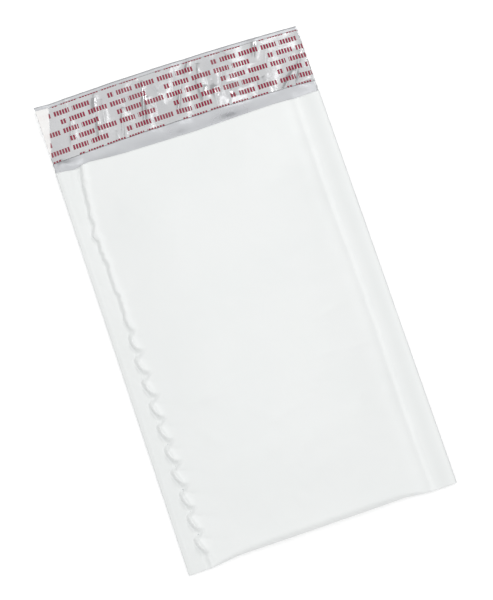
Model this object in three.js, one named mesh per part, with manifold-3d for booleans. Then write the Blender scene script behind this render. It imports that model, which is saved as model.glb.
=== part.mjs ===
// A padded envelope, open and empty: a film pouch with a bubble lining, lying flat on its back panel.
// Millimetres, +Z up. +Y runs to the flap, +X across the envelope. The origin is the centre of the
// footprint, on the surface that the envelope lies on.
import * as THREE from "three";
import { mergeVertices } from "three/addons/utils/BufferGeometryUtils.js";
import Module from "manifold-3d";

// ---- driving dimensions ----
const WIDTH = 152.4; // across both side welds
const BODY_LENGTH = 228.6; // mouth to bottom fold, pressed flat
const FLAP_LENGTH = 38.1; // the back panel's run past the mouth
const FLAP_CROWN = 2; // how far the flap's free edge bows out between its corners
const FLAP_SETTLE = 8; // how far past the mouth the flap's sides come down to the surface
const FILM = 0.3; // outer film, drawn thicker than the real 0.07 so that it is a sound solid
const LINING = 3.0; // one layer of bubble film, over its bubbles
const POCKET = 5.4; // free height between the two layers of lining
const FOLD_POCKET = 1.2; // what is left of that height at the bottom fold
const GAP = 0.3; // clearance between pieces that touch
const WELD_LEFT = 11; // width of the flat weld down the left side
const WELD_RIGHT = 13; // width of the flat weld down the right side
const WELD_LIFT = 1.2; // how far the weld's outer edge hangs above the surface
const SLIT_HALF = 0.1; // half the least height of a hollow, where its two layers meet
const WELD_GAP = 0.2; // free height left between the films where the weld ends
const STEP_RUN = 3.5; // the pouch first rises from the weld in a short step
const STEP_HALF = 1.0; // half the height of that step
const SHOULDER = 30; // from the step to where the pouch is full
const FOLD_DRAW = 2.6; // how far the rounded fold is drawn in from the flat corners
const FOLD_RUN = 0.22; // share of the panel over which the pouch fills out from the fold
const LINING_SHORT = 1; // how far the lining stops short of the mouth
// The band of glue and the strip over it: each is set in from the flap's free edge and from its sides.
const GLUE = { width: 25.4, thickness: 0.1, inset: 4.2, sideInset: 3 };
const LINER = { width: 30.5, thickness: 0.15, inset: 2.0, sideInset: 0.6 };

// ---- worked out from them ----
const TOTAL_LENGTH = BODY_LENGTH + FLAP_LENGTH + FLAP_CROWN;
const BOTTOM_Y = -TOTAL_LENGTH / 2;
const FLAP_Y = TOTAL_LENGTH / 2;
const MOUTH_Y = BOTTOM_Y + BODY_LENGTH;
const SKIN = FILM + GAP; // from the outside of the film to the lining
const WALL = SKIN + LINING; // from the outside of the film to the pocket
const WELD_HALF = FILM + WELD_GAP / 2; // half the height of the pouch at the weld's inner edge
const FULL_HALF = WALL + POCKET / 2; // half the height of the full pouch
const FOLD_HALF = WALL + FOLD_POCKET / 2; // half its height at the bottom fold

const smooth = (t) => {
  const s = THREE.MathUtils.clamp(t, 0, 1);
  return s * s * (3 - 2 * s);
};

// The distance in from the nearer weld's inner edge.
function fromWeld(x) {
  return Math.max(Math.min(x + WIDTH / 2 - WELD_LEFT, WIDTH / 2 - WELD_RIGHT - x), 0);
}

// How full the pouch is across its width: 0 up to the step, 1 over the middle, a quarter wave between.
function fullness(x) {
  const t = THREE.MathUtils.clamp((fromWeld(x) - STEP_RUN) / SHOULDER, 0, 1);
  return Math.sin((t * Math.PI) / 2);
}

// Half the height of the pouch, at x across it and a share of the way from the bottom fold to the mouth.
function halfHeight(x, share) {
  const full = THREE.MathUtils.lerp(FOLD_HALF, FULL_HALF, smooth(share / FOLD_RUN));
  const step = WELD_HALF + STEP_HALF * smooth(fromWeld(x) / STEP_RUN);
  return THREE.MathUtils.lerp(step, full, fullness(x));
}

// The back panel lies on the surface, and lifts a little towards the welds.
function backHeight(x) {
  return WELD_LIFT * (1 - fullness(x)) ** 3;
}

// How far the bottom fold is drawn in: not at all on the welds, and in full well before the middle.
function foldDraw(x) {
  return FOLD_DRAW * smooth(fromWeld(x) / (STEP_RUN + SHOULDER / 2));
}

// A station along the pouch is an angle round the bottom fold, or a share of the panels beyond it.
const FOLD_ANGLES = [8, 30, 52, 72].map((degrees) => THREE.MathUtils.degToRad(degrees));
const PANEL_SHARES = [0, 0.04, 0.085, 0.13, 0.175, 0.22, 0.4, 0.6, 0.8];
function stations(lastShare) {
  const round = FOLD_ANGLES.map((angle) => ({ angle, share: 0 }));
  const straight = [...PANEL_SHARES, lastShare].map((share) => ({ angle: Math.PI / 2, share }));
  return [...round, ...straight];
}

// The share of the panel at which a block ends, a distance past the mouth or short of it.
function mouthShare(past) {
  return 1 + past / BODY_LENGTH;
}

// A point of the pouch's front or back surface, a depth below the outside. Where the layers meet, a
// thin slit is left between the two surfaces.
function pouchPoint(x, station, depth, side) {
  const half = halfHeight(x, station.share);
  const reach = Math.max(half - depth, SLIT_HALF);
  const foldCentreY = BOTTOM_Y + foldDraw(x) + halfHeight(x, 0);
  const panelY = THREE.MathUtils.lerp(foldCentreY, MOUTH_Y, station.share);
  const y = panelY - reach * Math.cos(station.angle);
  const z = backHeight(x) + half + side * reach * Math.sin(station.angle);
  return [x, y, z];
}

// A closed block between the pouch's front and back surfaces, a depth below the outside. Its columns
// are places across the width, so blocks of different depths keep one wall thickness between them.
function pouchBlock(columns, rows, depth) {
  const geometry = new THREE.BoxGeometry(1, 1, 1, columns.length - 1, rows.length - 1, 1);
  const position = geometry.getAttribute("position");
  for (let i = 0; i < position.count; i++) {
    const column = columns[Math.round((position.getX(i) + 0.5) * (columns.length - 1))];
    const row = rows[Math.round((position.getY(i) + 0.5) * (rows.length - 1))];
    position.setXYZ(i, ...pouchPoint(column, row, depth, Math.sign(position.getZ(i))));
  }
  return geometry;
}

// Places across the width: through the step and the shoulder at each side, with a few over the middle.
const STEP_PLACES = [0, 0.35, 0.65, 1].map((share) => share * STEP_RUN);
const SHOULDER_PLACES = [0.12, 0.25, 0.4, 0.55, 0.75, 1].map((share) => STEP_RUN + share * SHOULDER);
const SIDE_PLACES = [...STEP_PLACES, ...SHOULDER_PLACES];
const FILM_START = 0; // the film's hollow starts at the weld itself
const LINING_START = 2; // the lining starts two places further in
const POCKET_START = 7; // the pocket starts where the two layers of lining part

function columnsFrom(start) {
  const left = -WIDTH / 2 + WELD_LEFT;
  const right = WIDTH / 2 - WELD_RIGHT;
  const places = SIDE_PLACES.slice(start);
  return [
    ...places.map((place) => left + place),
    (left + right) / 2,
    ...[...places].reverse().map((place) => right - place),
  ];
}

// ---- solids ----
const wasm = await Module();
wasm.setup();

function toSolid(geometry) {
  const bare = geometry.clone();
  bare.deleteAttribute("normal");
  bare.deleteAttribute("uv");
  const merged = mergeVertices(bare, 1e-4);
  return new wasm.Manifold(
    new wasm.Mesh({
      numProp: 3,
      vertProperties: merged.getAttribute("position").array,
      triVerts: new Uint32Array(merged.index.array),
    }),
  );
}

function toMesh(name, solid, material) {
  const { numProp, numVert, vertProperties, triVerts } = solid.getMesh();
  const positions = new Float32Array(numVert * 3);
  for (let i = 0; i < numVert; i++) {
    positions.set(vertProperties.subarray(i * numProp, i * numProp + 3), i * 3);
  }
  const geometry = new THREE.BufferGeometry();
  geometry.setAttribute("position", new THREE.BufferAttribute(positions, 3));
  geometry.setIndex(new THREE.BufferAttribute(new Uint32Array(triVerts), 1));
  geometry.computeVertexNormals();
  const mesh = new THREE.Mesh(geometry, material);
  mesh.name = name;
  return mesh;
}

// The free edge of the flap: square at its corners, and bowed out between them.
function flapEdge(x) {
  return FLAP_Y - FLAP_CROWN * ((2 * x) / WIDTH) ** 2;
}

// A strip of the flap, as a closed sheet between two places along it. It leaves the pouch at the back
// panel's height and comes down to the surface.
function flapStrip(columns, shares, height, thickness) {
  const geometry = new THREE.BoxGeometry(1, 1, 1, columns.length - 1, shares.length - 1, 1);
  const position = geometry.getAttribute("position");
  for (let i = 0; i < position.count; i++) {
    const x = columns[Math.round((position.getX(i) + 0.5) * (columns.length - 1))];
    const share = shares[Math.round((position.getY(i) + 0.5) * (shares.length - 1))];
    const y = THREE.MathUtils.lerp(MOUTH_Y, flapEdge(x), share);
    const lift = backHeight(x) * (1 - smooth((y - MOUTH_Y) / FLAP_SETTLE));
    position.setXYZ(i, x, y, lift + height + (position.getZ(i) + 0.5) * thickness);
  }
  return geometry;
}

// ---- outer film: one sheet folded at the bottom, welded at both sides, running on as the flap ----
const PAST_MOUTH = 6; // a hollow runs on past the mouth, so that it is open there
const FLAP_ROOT = -0.04; // share of the flap that overlaps the back panel
const FLAP_SHARES = [FLAP_ROOT, 0, 0.07, 0.14, 0.21, 1];

function outerFilm() {
  const inside = columnsFrom(FILM_START);
  const across = [-WIDTH / 2, ...inside, WIDTH / 2];
  const pouch = toSolid(pouchBlock(across, stations(1), 0));
  const hollow = toSolid(pouchBlock(inside, stations(mouthShare(PAST_MOUTH)), FILM));
  const flap = toSolid(flapStrip(across, FLAP_SHARES, 0, FILM));
  return pouch.subtract(hollow).add(flap);
}

// ---- bubble lining: one sheet folded the same way inside the film, its layers closed at the sides ----
function bubbleLining() {
  const layers = pouchBlock(columnsFrom(LINING_START), stations(mouthShare(-LINING_SHORT)), SKIN);
  const pocket = pouchBlock(columnsFrom(POCKET_START), stations(mouthShare(PAST_MOUTH)), WALL);
  return toSolid(layers).subtract(toSolid(pocket));
}

// ---- the closure on the flap's inner face: a band of glue under a strip that peels off ----
const GLUE_HEIGHT = FILM + GAP;
const LINER_HEIGHT = GLUE_HEIGHT + GLUE.thickness + GAP;

function closureStrip(size, height) {
  const half = WIDTH / 2 - size.sideInset;
  const columns = [-1, -0.75, -0.5, -0.25, 0, 0.25, 0.5, 0.75, 1].map((share) => share * half);
  const ends = [size.inset + size.width, size.inset].map((fromEdge) => 1 - fromEdge / FLAP_LENGTH);
  return toSolid(flapStrip(columns, ends, height, size.thickness));
}

// ---- the envelope ----
const whiteFilm = new THREE.MeshStandardMaterial({ color: 0xeceeed, roughness: 0.42, metalness: 0 });
const bubbleFilm = new THREE.MeshStandardMaterial({ color: 0xdfe4e6, roughness: 0.3, metalness: 0 });
const glueFilm = new THREE.MeshStandardMaterial({ color: 0xd2cfc4, roughness: 0.25, metalness: 0 });
const linerFilm = new THREE.MeshStandardMaterial({ color: 0xbfc0c3, roughness: 0.28, metalness: 0 });

const envelope = new THREE.Group();
envelope.add(
  toMesh("outer_film", outerFilm(), whiteFilm),
  toMesh("bubble_lining", bubbleLining(), bubbleFilm),
  toMesh("adhesive_strip", closureStrip(GLUE, GLUE_HEIGHT), glueFilm),
  toMesh("release_liner", closureStrip(LINER, LINER_HEIGHT), linerFilm),
);

export default envelope;
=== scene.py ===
# %% [markdown]
# # A padded envelope in Blender
# A padded envelope is a film pouch with a bubble lining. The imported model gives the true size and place
# of every piece. This script dresses that model: it makes the folded film, the bubbles and the
# peel-off strip as fine meshes, and gives each one the finish of the real thing.

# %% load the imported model
import math
import random

import bmesh
import bpy
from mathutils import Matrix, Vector, noise


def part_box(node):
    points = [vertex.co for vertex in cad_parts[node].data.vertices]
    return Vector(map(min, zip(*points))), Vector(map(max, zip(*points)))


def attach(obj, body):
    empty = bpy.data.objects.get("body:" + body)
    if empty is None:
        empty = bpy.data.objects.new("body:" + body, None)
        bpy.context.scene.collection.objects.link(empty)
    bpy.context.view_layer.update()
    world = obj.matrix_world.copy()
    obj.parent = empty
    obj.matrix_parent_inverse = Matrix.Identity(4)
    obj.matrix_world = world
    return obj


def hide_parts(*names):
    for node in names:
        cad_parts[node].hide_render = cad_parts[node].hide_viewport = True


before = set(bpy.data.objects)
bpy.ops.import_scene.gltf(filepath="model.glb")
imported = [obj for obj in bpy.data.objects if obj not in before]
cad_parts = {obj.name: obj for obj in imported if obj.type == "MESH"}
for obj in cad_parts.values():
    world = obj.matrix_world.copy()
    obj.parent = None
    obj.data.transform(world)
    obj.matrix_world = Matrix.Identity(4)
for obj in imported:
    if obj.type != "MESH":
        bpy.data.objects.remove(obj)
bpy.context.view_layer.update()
scene = bpy.context.scene
scene.view_settings.view_transform = "Standard"
MM = 0.001

# %% [markdown]
# ## Sizes
# The outside sizes are read from the model, so that the fine meshes land where the solids are. What
# the solids round off, such as the thickness of each weld, is named here in millimetres.

# %% sizes of the envelope
film_low, film_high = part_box("outer_film")
lining_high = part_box("bubble_lining")[1]
LINING_SHORT = 1 * MM  # how far the lining stops short of the mouth
WIDTH = film_high.x - film_low.x
BOTTOM = film_low.y
FLAP_TIP = film_high.y
MOUTH = lining_high.y + LINING_SHORT
FULL = film_high.z
FLAP = FLAP_TIP - MOUTH
FILM = 0.2 * MM  # the outer film
LINING = 3.0 * MM  # the height of a bubble
WELD_LIFT = 1.2 * MM  # how far the outer edge of each weld hangs over the table
WELD_HALF = 0.45 * MM  # half the thickness of a weld
RIM_HALF = 0.21 * MM  # the same at its outer edge, where the two sheets close on each other
STEP_HALF = 1.0 * MM  # half the height of the step beside a weld
STEP_RUN = 3.5 * MM  # from the weld to where the pouch starts to fill out
SHOULDER = 42 * MM  # from there to where it is full
MOUTH_DROOP = 4 * MM  # how far the front panel droops at the mouth
FOLD_HALF = 4.2 * MM  # half the height of the bottom fold
FOLD_DRAW = 1.8 * MM  # how far the fold is drawn in from the corners
FOLD_RUN = 0.22  # share of the panel over which the pouch fills out from the fold
FLAP_CROWN = 2 * MM  # how far the free edge of the flap bows out
FLAP_SETTLE = 8 * MM  # how far past the mouth the flap comes down to the table
BUBBLE_PITCH = 12.7 * MM  # from one row of bubbles to the next
print("width, body and flap, mm:", [round(v / MM, 1) for v in (WIDTH, MOUTH - BOTTOM, FLAP)])


# %% [markdown]
# ## Small curves used everywhere
# Soft shapes come from a few curves: an eased step, a bell, and a crease. A crease is a fold line in
# film: sharp along its middle, fading at both ends. Some creases are listed one by one, and the many
# small ones are placed by chance, from a fixed seed, so that every run gives the same film.

# %% small curves
def ease(t):
    t = min(max(t, 0.0), 1.0)
    return t * t * (3 - 2 * t)


def mix(a, b, t):
    return a + (b - a) * t


def bell(x, centre, width):
    return math.exp(-(((x - centre) / width) ** 2))


CREASE_REACH = 6  # widths away from its line at which a crease is lost


def crease(x, y, start, end, width):
    """1 on the line from start to end, falling to 0 a few widths away and at the line's ends."""
    along_x, along_y = end[0] - start[0], end[1] - start[1]
    off_x, off_y = x - start[0], y - start[1]
    length = math.hypot(along_x, along_y)
    share = (off_x * along_x + off_y * along_y) / length**2
    side = abs(off_x * along_y - off_y * along_x) / length
    if not 0 < share < 1 or side > CREASE_REACH * width:
        return 0.0
    return math.sin(math.pi * share) ** 0.6 * math.exp(-side / width)


def crease_end(start, lean, reach):
    """The far end of a crease, from its start, its lean in degrees and its length."""
    lean = math.radians(lean)
    return start[0] + reach * math.cos(lean), start[1] + reach * math.sin(lean)


def spread(t, stops):
    """Reads a line with corners through (t, value) stops."""
    for (t0, v0), (t1, v1) in zip(stops, stops[1:]):
        if t <= t1:
            return mix(v0, v1, (t - t0) / (t1 - t0))
    return stops[-1][1]


def wander(x, y, size, seed):
    """Slow, smooth variation between about -1 and 1, over features of a given size."""
    return noise.noise(Vector((x / size, y / size, seed)))


# %% [markdown]
# ## The form of the pouch
# Two sheets are welded down both sides and folded at the bottom. The pouch rises from each weld in a
# short step, then fills out slowly to the middle. The left weld has drawn up: near the mouth its inner
# edge is one kinked crease, and lower down the film puckers once for each row of bubbles. The right weld
# is nearly straight. Places along the pouch are shares: 0 at the bottom fold, 1 at the mouth. The width
# of each weld is a line through a few (share, millimetres) stops.

# %% where each weld ends
BODY = MOUTH - BOTTOM
LEFT_WELD = [
    (0, 10.3), (0.06, 9.3), (0.54, 9.3), (0.60, 10.3), (0.75, 9.6),
    (0.83, 8.8), (0.90, 9.9), (0.95, 11.3), (1, 13.2),
]
RIGHT_WELD = [(0, 11.6), (0.2, 12.0), (0.4, 11.2), (0.57, 11.4), (0.75, 12.1), (1, 11.8)]
LOWEST_PUCKER = 7 * MM
TOP_PUCKER = 0.63  # share of the pouch
CORNER = 0.015  # share of the pouch below which there are no puckers
PUCKER_DRAW = 1.15  # millimetres
SLANT_OUT = 0.76  # share of a pucker that slants out
TURN_BACK = 0.24  # share of a pucker that turns back


def pucker(share):
    """Place in one pucker of the left weld: 0 at its lower end, 1 at the lower end of the next one up."""
    return ((share * BODY - LOWEST_PUCKER) / BUBBLE_PITCH) % 1.0


def puckered(share):
    """How far the left weld has changed from the plain crease to puckers, and back at the corner."""
    return ease((TOP_PUCKER - share) / 0.08) * ease((share - CORNER) / 0.03)


def pucker_slant(place):
    """1 where a pucker's edge is drawn into the pouch, -1 where it is furthest out."""
    if place < SLANT_OUT:
        return math.cos(math.pi * place / SLANT_OUT)
    return -math.cos(math.pi * (place - SLANT_OUT) / TURN_BACK)


def left_weld(share):
    """A pucker's lower end is drawn into the pouch. It slants out to its upper end, and turns back."""
    down = share * BODY
    slant = pucker_slant(pucker(share)) * (1 + 0.8 * wander(0, down, 16 * MM, 14.0))
    kink = 1.1 * wander(0, down, 6.5 * MM, 12.0) + 0.5 * wander(0, down, 2.6 * MM, 3.0)
    kink *= 1 - puckered(share)
    return -WIDTH / 2 + (spread(share, LEFT_WELD) + PUCKER_DRAW * slant * puckered(share) + kink) * MM


def right_weld(share):
    return WIDTH / 2 - spread(share, RIGHT_WELD) * MM


print("puckers down the left weld:", round(TOP_PUCKER * BODY / BUBBLE_PITCH))

# %% [markdown]
# How full the pouch is depends on the distance from the nearer weld. At the left that distance is taken
# from a straight line, because the puckers would otherwise draw streaks right across the panel.

# %% how full the pouch is
LEFT_LINE = 9.2 * MM


def fullness(x, share):
    """0 on the welds and their steps, 1 over the middle of the pouch."""
    from_left = x + WIDTH / 2 - LEFT_LINE
    from_right = right_weld(share) - x
    t = (min(from_left, from_right) - STEP_RUN) / SHOULDER
    return math.sin(min(max(t, 0.0), 1.0) * math.pi / 2)


# %% [markdown]
# ## Detail on the front panel
# The step at the left is steep, and each pucker stands over it as a small bead. Between the beads a
# short valley runs in and down. Above the puckers a low crest follows the crease. All but the valley
# have a bell for their section, given by its centre and its width in millimetres, inwards from the weld.

# %% detail along the left weld
BEAD = (2.0, 1.25)
KNOT = (1.3, 0.8)
CREST = (2.6, 1.1)
GROOVE = (-0.3, 0.7)
PLEATS = (-1.5, 3.0)
BEAD_SHARE = 0.9  # share of a pucker that its bead covers
VALLEY_AT = 2.5  # millimetres inwards
VALLEY_WIDTH = 1.5
VALLEY_LENGTH = 4.5


def left_detail(x, share):
    """What the front panel adds along the left weld, in millimetres."""
    inward = (x - left_weld(share)) / MM
    place = pucker(share)
    bead = bell(inward, *BEAD) * math.sin(math.pi * min(place / BEAD_SHARE, 1.0)) ** 0.8
    bead *= mix(1.35, 0.85, ease((share - 0.15) / 0.4))
    knot = bell(inward, *KNOT) * bell(place, 0.8, 0.09)
    below = pucker(share + 0.8 * max(inward, 0.0) * MM / BODY)
    notch = min(below, 1 - below) * BUBBLE_PITCH / MM
    valley = math.exp(-notch / VALLEY_WIDTH) * math.exp(-abs(inward - VALLEY_AT) / VALLEY_LENGTH)
    valley *= ease(inward / 1.5) * mix(1.0, 0.35, ease((share - 0.2) / 0.3))
    crest = bell(inward, *CREST) * (1 - puckered(share))
    crest *= 0.6 + 0.5 * wander(0, share * BODY, 6 * MM, 1.0)
    pleats = math.cos(inward * 1.6) * bell(inward, *PLEATS) * ease((share - 0.94) / 0.05)
    puckers = (bead + 0.7 * knot - 1.2 * valley) * puckered(share)
    return puckers + 0.8 * crest - 0.25 * bell(inward, *GROOVE) + 0.45 * pleats


# %% [markdown]
# The right weld has one soft ridge along it. The rest of the panel is nearly flat: it shows only slow
# waves, fainter ones about as wide as the bubbles underneath, and faint creases from handling.

# %% detail over the rest of the panel
RIDGE = (-1.2, 1.1)  # outwards from the right weld
RIM_LINE = (2.3, 0.5)  # in from the left outer edge
LEFT_BAND = (6, 5)
PANEL_CREASE_COUNT = 26
PANEL_CREASE_LEANS = (-62, -35, 12, 78)  # degrees
PANEL_CREASE_WIDTH = 1.6 * MM
PANEL_CREASES = []
chance = random.Random(5)
for _ in range(PANEL_CREASE_COUNT):
    start = (chance.uniform(-0.055, 0.05), chance.uniform(0.01, 0.215))
    lean = chance.choice(PANEL_CREASE_LEANS) + chance.gauss(0, 12)
    end = crease_end(start, lean, chance.uniform(9, 34) * MM)
    PANEL_CREASES.append((start, end, chance.uniform(0.18, 0.42)))


def front_detail(x, share):
    """What the front panel adds to the plain form of the pouch, in millimetres."""
    down = share * BODY
    band = (x + WIDTH / 2) / MM
    outward = (x - right_weld(share)) / MM
    rim = 0.22 * bell(band, *RIM_LINE) + 0.2 * wander(x, down, 4 * MM, 9.0) * bell(band, *LEFT_BAND)
    ridge = bell(outward + 0.5 * wander(0, down, 11 * MM, 6.0), *RIDGE)
    ridge *= 0.75 + 0.6 * wander(0, down, 7 * MM, 8.0)
    waves = 0.16 * wander(x, down, 45 * MM, 3.0) + 0.18 * wander(x, down, 11 * MM, 7.0)
    creases = sum(high * crease(x, down, a, b, PANEL_CREASE_WIDTH) for a, b, high in PANEL_CREASES)
    return left_detail(x, share) + rim + 0.4 * ridge + waves + creases


print("creases in the front panel:", len(PANEL_CREASES))

# %% [markdown]
# ## Front and back surfaces
# Half the height of the pouch, mirrored about its middle, gives the front and the back. The detail is
# added to the front alone, and fades out round the fold. The back lies on the table and lifts a little
# towards the welds.

# %% front and back surfaces of the pouch
EASY_STEP = 7.0  # millimetres that the left step takes between two puckers
STEEP_STEP = 1.5  # the same along a pucker
RIGHT_STEP = 9 * MM
RIM_RUN = 2 * MM
DROOP_FROM = 0.8  # share of the panel
SLIT_HALF = 0.02 * MM
DETAIL_FROM = -40  # degrees round the fold


def firmness(share):
    """How steeply the left step stands: 1 along each pucker, 0 where the next one takes over."""
    place = min(pucker(share) / 0.84, 1.0)
    plain = (0.9 + 0.5 * wander(0, share * BODY, 6 * MM, 4.0)) * ease(share / 0.06)
    return mix(plain, math.sin(math.pi * place) ** 0.6, puckered(share))


def half_height(x, share):
    from_left = ease((x - left_weld(share)) / (mix(EASY_STEP, STEEP_STEP, firmness(share)) * MM))
    from_right = ease((right_weld(share) - x) / RIGHT_STEP)
    weld = mix(RIM_HALF, WELD_HALF, ease((WIDTH / 2 - abs(x)) / RIM_RUN))
    step = weld + STEP_HALF * min(from_left, from_right)
    full = mix(FOLD_HALF, FULL / 2, ease(share / FOLD_RUN))
    full -= MOUTH_DROOP / 2 * ease((share - DROOP_FROM) / (1 - DROOP_FROM))
    return mix(step, full, fullness(x, share))


def fold_draw(x):
    inside = min(x - left_weld(0), right_weld(0) - x)
    return FOLD_DRAW * ease(inside / (SHOULDER / 2))


def pouch_point(x, angle, share, depth, mouth_y):
    """A point of the pouch: an angle round the bottom fold, from the back at -90 degrees to the front
    at 90, then a share of the panel up to the mouth, at a depth below the outside."""
    fold_y = BOTTOM + fold_draw(x) + half_height(x, 0)
    y = mix(fold_y, mouth_y, share)
    lift = WELD_LIFT * (1 - fullness(x, share)) ** 3
    front = ease((math.degrees(angle) - DETAIL_FROM) / (90 - DETAIL_FROM))
    half = max(half_height(x, share) + front * front_detail(x, share) * MM / 2, RIM_HALF)
    reach = max(half - depth, SLIT_HALF)
    return Vector((x, y - reach * math.cos(angle), lift + half + reach * math.sin(angle)))


# %% [markdown]
# Film that is drawn over a ridge turns whiter, and the ridges, the steps and the left beads also get a
# painted highlight, as whiter film. A painted highlight runs along the right outer edge too, and the weld
# bands are a little darker. How much is worked out here, and stays on the mesh as an attribute for the
# white finish to read.

# %% where the film is whiter or duller
PLAIN_WHITE = 0.5
# whitening and painted highlight over the right ridge, the step beside it and the left beads; a painted
# highlight along the right outer edge; darker weld bands
RIDGE_WHITENING_AND_HIGHLIGHT = (-1.2, 1.3)  # outwards from the right weld
STEP_WHITENING_AND_HIGHLIGHT = (-6.5, 4.5)
DULL_BAND = (5.0, 3.4)
BEAD_WHITENING_AND_HIGHLIGHT = (4.5, 1.6)  # inwards from the left weld
PAINTED_RIM_HIGHLIGHT = (1.8 * MM, 1.2 * MM)  # in from the right outer edge


def whiteness_and_highlight(x, share):
    """0.5 on plain film, more where ridges whiten it and painted highlights lie on it, less on the weld
    bands.
    """
    inward = (x - left_weld(share)) / MM
    outward = (x - right_weld(share)) / MM
    # painted highlight, partly real stress whitening, over the right ridge, its step and the left beads
    drawn = 0.28 * bell(outward, *RIDGE_WHITENING_AND_HIGHLIGHT) + 0.25 * bell(outward, *STEP_WHITENING_AND_HIGHLIGHT)
    drawn += 0.25 * bell(inward, *BEAD_WHITENING_AND_HIGHLIGHT)
    drawn *= 1 + 0.5 * wander(x, share * BODY, 9 * MM, 13.0)
    # painted highlight along the right outer edge, lightening the dark line that the edge would show
    drawn += 0.16 * bell(WIDTH / 2 - x, *PAINTED_RIM_HIGHLIGHT)
    # the weld bands are made a little darker, the left one more towards the bottom
    weld_darkening = 0.3 * bell(outward, *DULL_BAND)
    weld_darkening += mix(0.26, 0.1, ease((share - 0.5) / 0.3)) * ease(-inward)
    return PLAIN_WHITE + drawn - weld_darkening


# %% [markdown]
# ## The form of the flap
# The flap is one thickness of film, so it never lies quite flat. It comes off the back panel, settles
# on the table within a finger's width, and its left end curls up along a slanting line.

# %% outline and curl of the flap
CURL_FROM = (-WIDTH / 2 + 8.2 * MM, FLAP_TIP)
CURL_TO = (-WIDTH / 2 + 0.3 * MM, MOUTH + 9 * MM)
CURL_ANGLE = math.radians(21)
CROWN_PLACE = -0.22  # share of the half width


def past_curl(x, y):
    """Distance past the line where the left end curls up, or 0 on the flat side of it."""
    along = Vector(CURL_TO) - Vector(CURL_FROM)
    offset = Vector((x, y)) - Vector(CURL_FROM)
    side = (offset.x * along.y - offset.y * along.x) / along.length
    return max(side, 0.0)


def flap_edge(x):
    """The free edge of the flap bows out, most a little to the left of its middle."""
    away = min(abs(2 * x / WIDTH - CROWN_PLACE) / 1.1, 1.2)
    return FLAP_TIP - FLAP_CROWN * away**2


# %% [markdown]
# The flap is creased more than the rest of the film. Its main creases are listed here: where each starts
# and ends, in metres, and how high it stands, in millimetres. The first ten go from left to right, and
# the last three run in from the left end, beside the mouth.

# %% height of the flap over the table
FLAP_CREASES = [
    ((-0.064, 0.1040), (-0.058, 0.1240), 0.8),
    ((-0.048, 0.1000), (-0.043, 0.1290), 1.1),
    ((-0.036, 0.0980), (-0.030, 0.1190), 0.9),
    ((-0.022, 0.1010), (-0.015, 0.1300), 1.3),
    ((-0.004, 0.1010), (0.006, 0.1240), 0.9),
    ((0.008, 0.1230), (0.013, 0.1330), 1.0),
    ((0.020, 0.1000), (0.022, 0.1180), 0.8),
    ((0.047, 0.1200), (0.051, 0.1330), 1.3),
    ((0.056, 0.0980), (0.067, 0.1090), 1.3),
    ((0.062, 0.0970), (0.074, 0.1180), 0.9),
    ((-0.075, 0.0975), (-0.060, 0.0955), 0.9),
    ((-0.073, 0.1005), (-0.064, 0.0950), 0.7),
    ((-0.074, 0.1040), (-0.067, 0.0960), 0.5),
]
SMALL_CREASE_COUNT = 24
FLAP_CREASE_WIDTH = 1.7 * MM
WAVES_OUT = 6 * MM  # past the mouth, where the waves of the flap reach their height
chance = random.Random(11)
for _ in range(SMALL_CREASE_COUNT):
    start = (chance.uniform(-0.074, 0.074), chance.uniform(0.097, 0.124))
    end = crease_end(start, chance.gauss(84, 20), chance.uniform(7, 22) * MM)
    FLAP_CREASES.append((start, end, chance.choice((-0.6, -0.4, 0.4, 0.6, 0.8))))


def flap_height(x, y):
    lift = WELD_LIFT * (1 - fullness(x, 1)) ** 3 * (1 - ease((y - MOUTH) / FLAP_SETTLE))
    waves = 1.0 + 0.9 * wander(x, y * 0.45, 16 * MM, 11.0) + 0.3 * wander(x, y, 7 * MM, 5.0)
    creases = sum(high * crease(x, y, a, b, FLAP_CREASE_WIDTH) for a, b, high in FLAP_CREASES)
    out = ease((y - MOUTH) / WAVES_OUT)
    return lift + out * max(waves + creases, 0.0) * MM + math.tan(CURL_ANGLE) * past_curl(x, y)


print("creases in the flap:", len(FLAP_CREASES))


# %% [markdown]
# ## Folding a sheet
# The real pouch starts as one long flat sheet. The mesh does too: a flat grid, made by one operator,
# is laid along the flap, down the back, round the fold and up the front. The sheet's own flat
# coordinates stay on it as its UV map, so that a finish can follow the film round the fold.

# %% one long grid, folded
def flat_grid(across, along):
    mesh = bmesh.new()
    bmesh.ops.create_grid(mesh, x_segments=across, y_segments=along, size=0.5)
    return mesh


def lay(mesh, place):
    """Moves every vertex of a flat grid to place(a, b). Each flat place, in metres, is kept as the UV
    map, and is given back by vertex."""
    uv = mesh.loops.layers.uv.new("flat")
    flat = {}
    for vertex in mesh.verts:
        point, flat_place = place(vertex.co.x + 0.5, vertex.co.y + 0.5)
        vertex.co = point
        flat[vertex.index] = flat_place
    for face in mesh.faces:
        for loop in face.loops:
            loop[uv].uv = flat[loop.vert.index]
    return flat


def finish_mesh(mesh, name, materials):
    """Turns a bmesh into a shown piece that rides on the envelope."""
    data = bpy.data.meshes.new(name)
    mesh.to_mesh(data)
    mesh.free()
    piece = bpy.data.objects.new(name, data)
    scene.collection.objects.link(piece)
    for material in materials:
        data.materials.append(material)
    for polygon in data.polygons:
        polygon.use_smooth = True
    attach(piece, "root")
    print(name, "has", len(data.polygons), "faces")
    return piece


# %% [markdown]
# ## Materials
# Film shows what it is by its gloss and by the small unevenness of its surface. A short helper adds
# nodes and joins them, so that each finish can be read as a formula.

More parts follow.
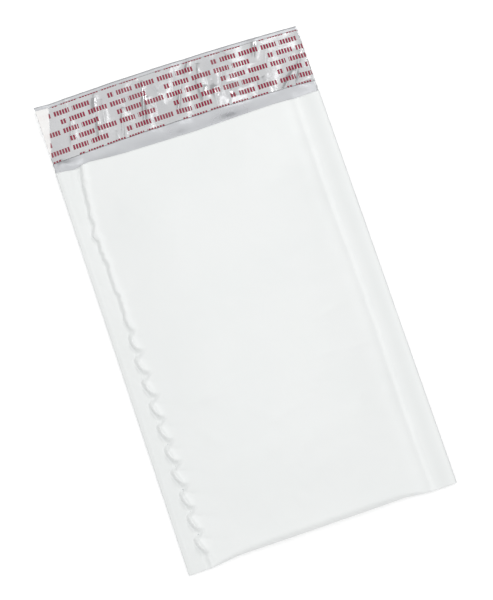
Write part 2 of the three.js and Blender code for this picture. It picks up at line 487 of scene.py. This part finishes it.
# %% helpers for shader nodes
class Shader:
    """A node tree with short ways to add nodes and join them."""

    def __init__(self, tree):
        self.tree = tree

    def node(self, kind, **settings):
        made = self.tree.nodes.new(kind)
        for key, value in settings.items():
            setattr(made, key, value)
        return made

    def feed(self, socket, value):
        if isinstance(value, bpy.types.NodeSocket):
            self.tree.links.new(value, socket)
        else:
            socket.default_value = value

    def math(self, operation, *values, clamp=False):
        made = self.node("ShaderNodeMath", operation=operation, use_clamp=clamp)
        for socket, value in zip(made.inputs, values):
            self.feed(socket, value)
        return made.outputs[0]

    def noise(self, vector, scale, detail=2.0, rough=0.5):
        made = self.node("ShaderNodeTexNoise")
        self.feed(made.inputs["Vector"], vector)
        made.inputs["Scale"].default_value = scale
        made.inputs["Detail"].default_value = detail
        made.inputs["Roughness"].default_value = rough
        return made.outputs["Fac"]

    def span(self, value, low, high, to_low=0.0, to_high=1.0, smooth=True):
        kind = "SMOOTHSTEP" if smooth else "LINEAR"
        made = self.node("ShaderNodeMapRange", interpolation_type=kind)
        for socket, given in zip(made.inputs, (value, low, high, to_low, to_high)):
            self.feed(socket, given)
        return made.outputs["Result"]

    def blend(self, factor, first, second):
        made = self.node("ShaderNodeMix", data_type="RGBA")
        self.feed(made.inputs["Factor"], factor)
        self.feed(made.inputs["A"], first)
        self.feed(made.inputs["B"], second)
        return made.outputs["Result"]

    def bump(self, height, distance, strength=1.0):
        made = self.node("ShaderNodeBump")
        made.inputs["Strength"].default_value = strength
        made.inputs["Distance"].default_value = distance
        self.feed(made.inputs["Height"], height)
        return made.outputs["Normal"]


def start_material(name):
    material = bpy.data.materials.new(name)
    material.use_nodes = True
    shader = Shader(material.node_tree)
    return material, shader, material.node_tree.nodes["Principled BSDF"]


# %% [markdown]
# Every film here comes from the same kind of machine, so they share two effects. Fine grain with faint
# lines along the web is one. The other is crinkle: the small facets that thin film takes on once it has
# been handled. Each effect is a node group with its own values in each material.

# %% shared film effects
def film_grain_group():
    group = bpy.data.node_groups.new("film grain", "ShaderNodeTree")
    group.interface.new_socket("Vector", in_out="INPUT", socket_type="NodeSocketVector")
    lines = group.interface.new_socket("Lines", in_out="INPUT", socket_type="NodeSocketFloat")
    lines.default_value = 0.5
    group.interface.new_socket("Height", in_out="OUTPUT", socket_type="NodeSocketFloat")
    group.interface.new_socket("Patches", in_out="OUTPUT", socket_type="NodeSocketFloat")
    shader = Shader(group)
    inside = shader.node("NodeGroupInput")
    outside = shader.node("NodeGroupOutput")
    place = inside.outputs["Vector"]
    stretched = shader.node("ShaderNodeMapping")
    stretched.inputs["Scale"].default_value = (1, 0.04, 1)
    shader.feed(stretched.inputs["Vector"], place)
    web = shader.noise(stretched.outputs["Vector"], 700, 2)
    grain = shader.noise(place, 1500, 3, 0.6)
    height = shader.math("MULTIPLY_ADD", web, inside.outputs["Lines"], grain)
    shader.feed(outside.inputs["Height"], height)
    shader.feed(outside.inputs["Patches"], shader.noise(place, 26, 4, 0.55))
    return group


def film_crinkle_group():
    group = bpy.data.node_groups.new("film crinkle", "ShaderNodeTree")
    group.interface.new_socket("Vector", in_out="INPUT", socket_type="NodeSocketVector")
    size = group.interface.new_socket("Scale", in_out="INPUT", socket_type="NodeSocketFloat")
    size.default_value = 60.0
    group.interface.new_socket("Height", in_out="OUTPUT", socket_type="NodeSocketFloat")
    shader = Shader(group)
    inside = shader.node("NodeGroupInput")
    outside = shader.node("NodeGroupOutput")
    warp = shader.node("ShaderNodeTexNoise")
    warp.inputs["Scale"].default_value = 35
    shader.feed(warp.inputs["Vector"], inside.outputs["Vector"])
    bend = shader.node("ShaderNodeVectorMath", operation="MULTIPLY_ADD")
    shader.feed(bend.inputs[0], warp.outputs["Color"])
    bend.inputs[1].default_value = (0.02, 0.02, 0.02)
    shader.feed(bend.inputs[2], inside.outputs["Vector"])
    cells = shader.node("ShaderNodeTexVoronoi", feature="DISTANCE_TO_EDGE")
    shader.feed(cells.inputs["Vector"], bend.outputs[0])
    shader.feed(cells.inputs["Scale"], inside.outputs["Scale"])
    ridge = shader.span(cells.outputs["Distance"], 0.0, 0.35)
    shader.feed(outside.inputs["Height"], ridge)
    return group


GRAIN = film_grain_group()
CRINKLE = film_crinkle_group()


def object_place(shader):
    return shader.node("ShaderNodeTexCoord").outputs["Object"]


def add_grain(shader, place, lines):
    """Height of the grain, and the slow patches over which tint and gloss vary."""
    grain = shader.node("ShaderNodeGroup", node_tree=GRAIN)
    shader.feed(grain.inputs["Vector"], place)
    grain.inputs["Lines"].default_value = lines
    return grain.outputs["Height"], grain.outputs["Patches"]


def add_crinkle(shader, place, scale):
    crinkle = shader.node("ShaderNodeGroup", node_tree=CRINKLE)
    shader.feed(crinkle.inputs["Vector"], place)
    crinkle.inputs["Scale"].default_value = scale
    return crinkle.outputs["Height"]


def patchy_tint(shader, patches, first, second):
    return shader.blend(shader.span(patches, 0.3, 0.7), first, second)


def patchy_gloss(shader, patches, surface, low, high):
    shader.feed(surface.inputs["Roughness"], shader.span(patches, 0.25, 0.75, low, high))


print("node groups:", [group.name for group in bpy.data.node_groups])


# %% [markdown]
# ## White outside, grey inside
# The film is two layers drawn together: white outside, so that an address shows up on it, and dark
# inside, so that nothing can be read through it. One sheet of mesh carries both finishes, one on each
# side.

# %% white film and grey film
def white_film():
    material, shader, surface = start_material("white film")
    place = object_place(shader)
    grain, patches = add_grain(shader, place, 0.6)
    duller = patchy_tint(shader, patches, (0.710, 0.728, 0.723, 1), (0.727, 0.742, 0.737, 1))
    whiter = patchy_tint(shader, patches, (0.820, 0.838, 0.833, 1), (0.837, 0.852, 0.847, 1))
    # painted highlight: the attribute lays the whiter tint on ridges, beads and the right outer edge, and
    # the darker tint on the weld bands
    drawn = shader.node("ShaderNodeAttribute", attribute_name="whiteness_and_highlight").outputs["Fac"]
    shader.feed(surface.inputs["Base Color"], shader.blend(drawn, duller, whiter))
    patchy_gloss(shader, patches, surface, 0.36, 0.5)
    height = shader.math("MULTIPLY_ADD", add_crinkle(shader, place, 42), 9.0, grain)
    shader.feed(surface.inputs["Normal"], shader.bump(height, 0.03 * MM, 0.4))
    surface.inputs["IOR"].default_value = 1.5
    return material


def grey_film():
    material, shader, surface = start_material("grey film")
    place = object_place(shader)
    grain, patches = add_grain(shader, place, 0.8)
    grey = patchy_tint(shader, patches, (0.42, 0.427, 0.445, 1), (0.48, 0.49, 0.505, 1))
    shader.feed(surface.inputs["Base Color"], grey)
    patchy_gloss(shader, patches, surface, 0.22, 0.36)
    height = shader.math("MULTIPLY_ADD", add_crinkle(shader, place, 50), 6.0, grain)
    shader.feed(surface.inputs["Normal"], shader.bump(height, 0.05 * MM, 0.6))
    surface.inputs["Metallic"].default_value = 0.6
    surface.inputs["IOR"].default_value = 1.5
    return material


# %% [markdown]
# ## The peel-off strip
# The strip is glossy grey film. The real one is printed all over. Here the print is a plain pattern
# instead: rows of short dark red bars, in groups of several lengths, each row shifted by about half a
# repeat. The pattern reads the strip's own UV map, so it follows every crease. Past the line where the
# flap curls up, a glare is painted on the strip as pale colour.

# %% printed liner film
ROW_PITCH = 5.25 * MM
ROW_HEIGHT = 2.7 * MM
ROW_START = 1.7 * MM
BAR_PITCH = 1.6 * MM
BAR_SHARE = 0.72
GROUP = 49.2 * MM
REPEAT = 60.1 * MM
GROUP_GAPS = (0.085, 0.30, 0.56, 0.78)  # shares of a group
GAP_HALF = 0.9 * MM
ROW_SHIFT = REPEAT * 0.5 + 1.1 * MM


def bar_rows(shader, across, along):
    """1 on the ink: rows of upright bars, in groups, from a place in metres on the strip."""
    raised = shader.math("ADD", along, ROW_START)
    row = shader.math("FLOOR", shader.math("DIVIDE", raised, ROW_PITCH))
    up = shader.math("SUBTRACT", raised, shader.math("MULTIPLY", row, ROW_PITCH))
    shift = shader.math("MULTIPLY", row, ROW_SHIFT)
    run = shader.math("WRAP", shader.math("ADD", across, shift), REPEAT, 0.0)
    within = shader.math("FRACT", shader.math("DIVIDE", run, BAR_PITCH))
    bar = shader.math("LESS_THAN", within, BAR_SHARE)
    ink = shader.math("MULTIPLY", bar, shader.math("LESS_THAN", up, ROW_HEIGHT))
    ink = shader.math("MULTIPLY", ink, shader.math("LESS_THAN", run, GROUP))
    for share in GROUP_GAPS:
        off = shader.math("ABSOLUTE", shader.math("SUBTRACT", run, share * GROUP))
        ink = shader.math("MULTIPLY", ink, shader.math("GREATER_THAN", off, GAP_HALF))
    return ink


def past_curl_mask(shader, place):
    """1 past the line where the flap curls up, 0 on the flat side of it."""
    parts = shader.node("ShaderNodeSeparateXYZ")
    shader.feed(parts.inputs[0], place)
    along = Vector(CURL_TO) - Vector(CURL_FROM)
    slant = shader.math("MULTIPLY", parts.outputs[0], along.y / along.length)
    slant = shader.math("MULTIPLY_ADD", parts.outputs[1], -along.x / along.length, slant)
    line = (CURL_FROM[0] * along.y - CURL_FROM[1] * along.x) / along.length
    return shader.span(shader.math("SUBTRACT", slant, line), -0.3 * MM, 0.5 * MM)


def liner_film():
    material, shader, surface = start_material("printed liner film")
    place = object_place(shader)
    grain, patches = add_grain(shader, place, 0.8)
    flat = shader.node("ShaderNodeSeparateXYZ")
    shader.feed(flat.inputs[0], shader.node("ShaderNodeUVMap", uv_map="flat").outputs["UV"])
    ink = bar_rows(shader, flat.outputs[0], flat.outputs[1])
    # painted glare: past the line where the flap curls up, the strip is coloured pale and loses its
    # silver shine
    painted_glare = past_curl_mask(shader, place)
    grey = patchy_tint(shader, patches, (0.40, 0.405, 0.415, 1), (0.46, 0.463, 0.47, 1))
    worn_ink = shader.math("MULTIPLY", ink, shader.span(patches, 0.2, 0.6, 0.82, 1.0))
    printed = shader.blend(worn_ink, grey, (0.22, 0.0, 0.022, 1))
    coloured = shader.blend(shader.math("MULTIPLY", painted_glare, 0.93), printed, (0.85, 0.84, 0.83, 1))
    shader.feed(surface.inputs["Base Color"], coloured)
    patchy_gloss(shader, patches, surface, 0.16, 0.26)
    height = shader.math("MULTIPLY_ADD", add_crinkle(shader, place, 55), 6.0, grain)
    shader.feed(surface.inputs["Normal"], shader.bump(height, 0.05 * MM, 0.6))
    surface.inputs["IOR"].default_value = 1.5
    silver = shader.math("SUBTRACT", 1.0, shader.math("MAXIMUM", ink, painted_glare))
    shader.feed(surface.inputs["Metallic"], shader.math("MULTIPLY", silver, 0.6))
    shader.feed(surface.inputs["Coat Weight"], shader.math("MULTIPLY_ADD", silver, 0.45, 0.05))
    surface.inputs["Coat Roughness"].default_value = 0.08
    return material


# %% [markdown]
# The glue is a clear, slightly yellow layer that stays tacky, so it is the glossiest thing here. The
# bubble film is clear too: it is drawn as pale film with a hard shine on every bubble.

# %% glue and bubble film
def glue():
    material, shader, surface = start_material("tacky glue")
    grain, patches = add_grain(shader, object_place(shader), 1.5)
    yellowish = patchy_tint(shader, patches, (0.66, 0.63, 0.52, 1), (0.74, 0.72, 0.62, 1))
    shader.feed(surface.inputs["Base Color"], yellowish)
    patchy_gloss(shader, patches, surface, 0.08, 0.2)
    shader.feed(surface.inputs["Normal"], shader.bump(grain, 0.08 * MM, 0.6))
    return material


def bubble_film():
    material, shader, surface = start_material("clear bubble film")
    place = object_place(shader)
    grain, patches = add_grain(shader, place, 0.3)
    clear = patchy_tint(shader, patches, (0.70, 0.74, 0.76, 1), (0.80, 0.83, 0.85, 1))
    shader.feed(surface.inputs["Base Color"], clear)
    patchy_gloss(shader, patches, surface, 0.07, 0.18)
    height = shader.math("MULTIPLY_ADD", add_crinkle(shader, place, 220), 2.0, grain)
    shader.feed(surface.inputs["Normal"], shader.bump(height, 0.04 * MM, 0.5))
    surface.inputs["Transmission Weight"].default_value = 0.25
    surface.inputs["IOR"].default_value = 1.45
    surface.inputs["Coat Weight"].default_value = 0.3
    return material


WHITE_FILM = white_film()
GREY_FILM = grey_film()
LINER_FILM = liner_film()
GLUE = glue()
BUBBLE_FILM = bubble_film()
print("materials:", [m.name for m in bpy.data.materials])

# %% [markdown]
# ## The outer film
# One sheet, 152 mm wide and about half a metre long, makes the front, the back and the flap. It is laid
# out as a grid and folded, then a Solidify modifier gives it a thickness and its grey inner side. The
# mesh lines crowd where the shape turns fast, and are sparse on the back. The two ends of the flap are
# cut by a toothed knife, so each is a row of small teeth.

# %% outer film
PANEL = MOUTH - BOTTOM - FOLD_DRAW - FOLD_HALF
FOLD_ARC = math.pi * FOLD_HALF
SHEET = FLAP + 2 * PANEL + FOLD_ARC
FILM_GRID = (122, 395)
FILM_ROWS = [  # share of the rows, and run down the sheet from the flap's free edge
    (0, 0),
    (0.15, FLAP),
    (0.26, FLAP + PANEL),
    (0.295, FLAP + PANEL + FOLD_ARC),
    (1, SHEET),
]
TOOTH_PITCH = 3.7 * MM
TOOTH = 0.45 * MM


def film_column(t, share):
    """Places of the lengthwise mesh lines: they follow both welds, and stand closest at the left step."""
    left = left_weld(share)
    right = right_weld(share)
    stops = [
        (0, -WIDTH / 2),
        (0.14, left - 0.8 * MM),
        (0.36, left + 8 * MM),
        (0.80, right - 6 * MM),
        (0.90, right + 0.5 * MM),
        (1, WIDTH / 2),
    ]
    return spread(t, stops)


def toothed(x, y):
    """Draws the cut edges of the flap in by a row of small teeth."""
    if abs(x) < WIDTH / 2 - 0.05 * MM:
        return x
    tooth = abs((y / TOOTH_PITCH) % 1.0 - 0.5) * 2
    return x - math.copysign(TOOTH * (1 - tooth), x)


LIP_LINE = [  # place across and distance past the mouth, both in millimetres
    (-76, 1.4), (-71, 0.9), (-67, 0.1), (-63, 0.4), (-57, 0.9), (-50, 0), (-35, -1.4), (-15, -2.0),
    (0, -2.3), (20, -2.1), (40, -1.5), (50, -1.1), (60, -1.2), (76, -0.8),
]


def lip(x):
    """The front panel's edge at the mouth: it sags over the middle, and dips beside the left weld."""
    return MOUTH + (spread(x / MM, LIP_LINE) + 0.15 * wander(x, 0, 12 * MM, 2.0)) * MM


def place_on_sheet(run):
    """Angle round the fold and share of the panel, from the run down from the back panel's mouth edge."""
    if run < PANEL:
        return -math.pi / 2, 1 - run / PANEL
    if run < PANEL + FOLD_ARC:
        return math.pi * ((run - PANEL) / FOLD_ARC - 0.5), 0.0
    return math.pi / 2, (run - PANEL - FOLD_ARC) / PANEL


def film_place(a, b):
    run = spread(b, FILM_ROWS)
    if run < FLAP:
        x = film_column(a, 1)
        y = mix(flap_edge(x), MOUTH, run / FLAP)
        return Vector((toothed(x, y), y, flap_height(x, y))), (x, run)
    angle, share = place_on_sheet(run - FLAP)
    x = film_column(a, share)
    mouth_y = lip(x) if angle > -math.pi / 2 else MOUTH
    return pouch_point(x, angle, share, 0.0, mouth_y), (x, run)


def outer_film():
    mesh = flat_grid(*FILM_GRID)
    flat = lay(mesh, film_place)
    # the attribute carries painted highlights and darker weld bands for the white finish
    tone = mesh.verts.layers.float.new("whiteness_and_highlight")
    for vertex in mesh.verts:
        x, run = flat[vertex.index]
        angle, share = place_on_sheet(run - FLAP)
        vertex[tone] = whiteness_and_highlight(x, share) if angle > 0 else PLAIN_WHITE
    piece = finish_mesh(mesh, "folded_film", [WHITE_FILM, GREY_FILM])
    wall = piece.modifiers.new("film thickness", "SOLIDIFY")
    wall.thickness = FILM
    wall.offset = -1
    wall.material_offset = 1
    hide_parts("outer_film")
    return piece


film = outer_film()
print("sheet, mm:", round(WIDTH / MM, 1), "by", round(SHEET / MM, 1))

# %% [markdown]
# ## The bubble lining
# The lining is one sheet of bubble film, folded with the outer film and caught in its side welds. Its
# flat side lies on the outer film, and its bubbles face the pouch. Two grids make it, the flat side
# and the bubble side, and their rims are bridged into one closed body.

# %% bubble lining
LINING_GRID = (100, 310)
LINING_ROWS = [
    (0, 0.5 * MM),
    (0.48, PANEL),
    (0.52, PANEL + FOLD_ARC),
    (1, 2 * PANEL + FOLD_ARC - 1.2 * MM),
]
LINING_INSET = 4.5 * MM  # from each side edge of the outer film
LINING_SLACK = 1.1 * MM  # how far it hangs off the outer film beside the welds
LINING_CLEAR = 0.06 * MM
BUBBLE_RADIUS = 5.2 * MM
BASE_FILM = 0.25 * MM
COLUMN_PITCH = BUBBLE_PITCH * 0.866  # bubbles in rows that interlock stand this far apart across


def bubble(x, run):
    """Height share of the bubble at a flat place: staggered rows of round, flat-topped bubbles."""
    column = round(x / COLUMN_PITCH)
    stagger = 0.5 * (column % 2)
    row = round(run / BUBBLE_PITCH - stagger) + stagger
    off_x = x - column * COLUMN_PITCH
    off_y = run - row * BUBBLE_PITCH
    away = math.hypot(off_x, off_y) / BUBBLE_RADIUS
    return math.sqrt(max(1 - away**4, 0.0))


def lining_column(t, share):
    left = left_weld(share)
    right = right_weld(share)
    stops = [
        (0, -WIDTH / 2 + LINING_INSET),
        (0.04, left),
        (0.13, left + 9 * MM),
        (0.93, right - 6 * MM),
        (1, WIDTH / 2 - LINING_INSET),
    ]
    return spread(t, stops)


def lining_place(depth_of):
    """Places one side of the lining, at a depth below the outside that the bubbles may change."""

    def place(a, b):
        run = spread(b, LINING_ROWS)
        angle, share = place_on_sheet(run)
        x = lining_column(a, share)
        slack = LINING_SLACK * (1 - fullness(x, share))
        return pouch_point(x, angle, share, slack + depth_of(x, run), lip(x)), (x, run)

    return place


def flat_side(x, run):
    return FILM + LINING_CLEAR


def bubble_side(x, run):
    return flat_side(x, run) + mix(BASE_FILM, LINING, bubble(x, run))


def bubble_lining():
    mesh = flat_grid(*LINING_GRID)
    lay(mesh, lining_place(flat_side))
    inner = flat_grid(*LINING_GRID)
    lay(inner, lining_place(bubble_side))
    bmesh.ops.reverse_faces(inner, faces=inner.faces[:])
    spare = bpy.data.meshes.new("bubble side")
    inner.to_mesh(spare)
    inner.free()
    mesh.from_mesh(spare)
    bpy.data.meshes.remove(spare)
    rims = [edge for edge in mesh.edges if edge.is_boundary]
    bmesh.ops.bridge_loops(mesh, edges=rims)
    piece = finish_mesh(mesh, "bubble_sheet", [BUBBLE_FILM])
    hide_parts("bubble_lining")
    return piece


lining = bubble_lining()

# %% [markdown]
# ## Glue and liner on the flap
# Both lie on the flap and take its form, so they are laid over the same height curve, a hair apart. The
# liner carries the print and the highlights of its creases, so its grid is the finer one.

# %% glue strip and peel-off liner
STRIP_FILM = 0.06 * MM
GLUE_GRID = (150, 26)
GLUE_WIDTH = 25.4 * MM
GLUE_INSET = 4.2 * MM
GLUE_SIDE = 3 * MM
GLUE_LIFT = 0.3 * MM
LINER_GRID = (380, 80)
LINER_WIDTH = 30.5 * MM
LINER_INSET = 2.0 * MM
LINER_SIDE = 0.3 * MM
LINER_LIFT = 0.45 * MM


def strip_place(inset, width, side, height):
    """Places a strip of the flap: how far in from its free edge, how wide, how far in from each end,
    and how high over the flap."""

    def place(a, b):
        x = mix(-WIDTH / 2 + side, WIDTH / 2 - side, a)
        y = flap_edge(x) - mix(inset + width, inset, b)
        return Vector((x, y, flap_height(x, y) + height)), (x, b * width)

    return place


def flap_strip(name, grid, place, material):
    mesh = flat_grid(*grid)
    lay(mesh, place)
    piece = finish_mesh(mesh, name, [material])
    wall = piece.modifiers.new("strip thickness", "SOLIDIFY")
    wall.thickness = STRIP_FILM
    wall.offset = 1
    return piece


glue_place = strip_place(GLUE_INSET, GLUE_WIDTH, GLUE_SIDE, GLUE_LIFT)
glue_strip = flap_strip("glue_band", GLUE_GRID, glue_place, GLUE)
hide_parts("adhesive_strip")

liner_place = strip_place(LINER_INSET, LINER_WIDTH, LINER_SIDE, LINER_LIFT)
liner = flap_strip("peel_off_liner", LINER_GRID, liner_place, LINER_FILM)
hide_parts("release_liner")

# %% [markdown]

# %% [markdown]
# ## Floor, light and camera
# The floor is one plain white sheet that glows very slightly, so that it stays white beside the film.
# A white world lights everything evenly. A wide light hangs overhead, and a weak fill stands at the left.
# A small key at the upper right draws the slopes of the welds, and a small lamp high up, beyond the flap
# and to the right, puts glints on the liner's creases.

# %% floor
FLOOR_HALF = 1.6
FLOOR_DROP = 0.02 * MM


def white_floor():
    mesh = bmesh.new()
    bmesh.ops.create_grid(mesh, x_segments=1, y_segments=1, size=FLOOR_HALF)
    data = bpy.data.meshes.new("floor")
    mesh.to_mesh(data)
    mesh.free()
    floor = bpy.data.objects.new("floor", data)
    floor.location.z = film_low.z - FLOOR_DROP
    scene.collection.objects.link(floor)
    material, shader, surface = start_material("white floor")
    clouds = shader.noise(object_place(shader), 8, 2)
    white = patchy_tint(shader, clouds, (0.945, 0.945, 0.945, 1), (0.955, 0.955, 0.955, 1))
    shader.feed(surface.inputs["Base Color"], white)
    surface.inputs["Roughness"].default_value = 0.8
    surface.inputs["Emission Color"].default_value = (1, 1, 1, 1)
    surface.inputs["Emission Strength"].default_value = 0.1
    data.materials.append(material)


white_floor()


# %% lights
MIDDLE = Vector((0, 0, 0))


def area_light(name, place, size, power):
    """A round light that faces the middle of the envelope."""
    data = bpy.data.lights.new(name, "AREA")
    data.shape = "DISK"
    data.size = size
    data.energy = power
    light = bpy.data.objects.new(name, data)
    light.location = place
    light.rotation_euler = (MIDDLE - Vector(place)).to_track_quat("-Z", "Y").to_euler()
    scene.collection.objects.link(light)
    print(name, "at", place, "m")


area_light("overhead softbox", (0.0, 0.0, 1.3), 2.2, 10.5)
area_light("upper right key", (0.75, 0.6, 0.85), 0.16, 2.2)
area_light("left fill", (-0.95, -0.1, 0.85), 0.9, 1.3)
area_light("glint strip", (0.3, 0.42, 1.25), 0.2, 0.3)

world = bpy.data.worlds.new("studio")
world.use_nodes = True
background = world.node_tree.nodes["Background"]
background.inputs["Color"].default_value = (1, 1, 1, 1)
background.inputs["Strength"].default_value = 0.57
scene.world = world

# %% [markdown]
# The camera looks almost straight down. The envelope leans to the left in the view, so the camera is
# rolled about its line of sight, and it stands a little towards the bottom fold.

# %% camera
camera_data = bpy.data.cameras.new("camera")
camera_data.lens = 72
camera = bpy.data.objects.new("camera", camera_data)
camera.rotation_mode = "ZYX"
camera.location = (-0.02506, -0.05263, 0.65369)
camera.rotation_euler = [math.radians(turn) for turn in (4.258, -2.245, -18.716)]
scene.collection.objects.link(camera)
scene.camera = camera
